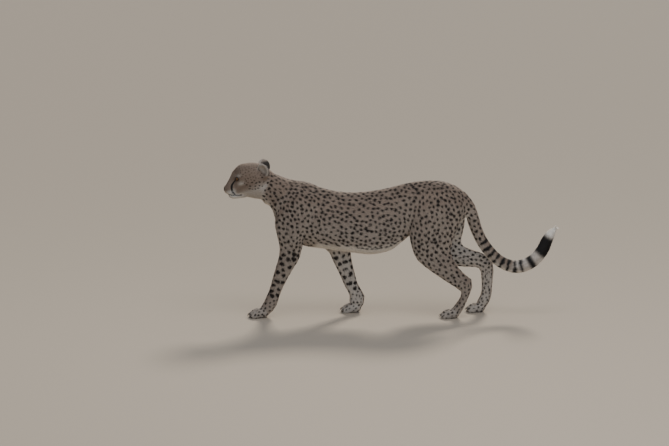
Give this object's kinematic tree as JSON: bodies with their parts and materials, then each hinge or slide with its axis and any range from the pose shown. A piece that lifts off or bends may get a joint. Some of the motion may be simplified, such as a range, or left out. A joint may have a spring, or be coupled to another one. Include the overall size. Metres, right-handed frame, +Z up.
{
  "type": "cheetah figure",
  "caption": "Life-size cheetah in mid walk, as a still model with a spotted coat, lowered head and a long tail curving up at its tip.",
  "frame": {"origin": "on the floor, under the centre of the bounding box", "axes": "+Z up, the nose points to -X, and the animal's left side faces -Y"},
  "size_m": [1.6194, 0.2206, 0.7628],
  "materials": {
    "fur": "matte",
    "eye": "gloss",
    "claw": "satin"
  },
  "bodies": {
    "root": {"tail_base": "fur", "tail_middle": "fur", "tail_end": "fur", "tail_tip": "fur", "head": "fur", "neck": "fur", "torso": "fur", "fore_left_shoulder": "fur", "fore_left_forearm": "fur", "fore_left_paw": "fur", "fore_left_claw_1": "claw", "fore_left_claw_2": "claw", "fore_left_claw_3": "claw", "fore_left_claw_4": "claw", "fore_right_shoulder": "fur", "fore_right_forearm": "fur", "fore_right_paw": "fur", "fore_right_claw_1": "claw", "fore_right_claw_2": "claw", "fore_right_claw_3": "claw", "fore_right_claw_4": "claw", "hind_left_thigh": "fur", "hind_left_shank": "fur", "hind_left_foot": "fur", "hind_left_paw": "fur", "hind_left_claw_1": "claw", "hind_left_claw_2": "claw", "hind_left_claw_3": "claw", "hind_left_claw_4": "claw", "hind_right_thigh": "fur", "hind_right_shank": "fur", "hind_right_foot": "fur", "hind_right_paw": "fur", "hind_right_claw_1": "claw", "hind_right_claw_2": "claw", "hind_right_claw_3": "claw", "hind_right_claw_4": "claw", "ear_left": "fur", "ear_right": "fur", "eye_left": "eye", "eye_right": "eye"}
  },
  "joints": []
}
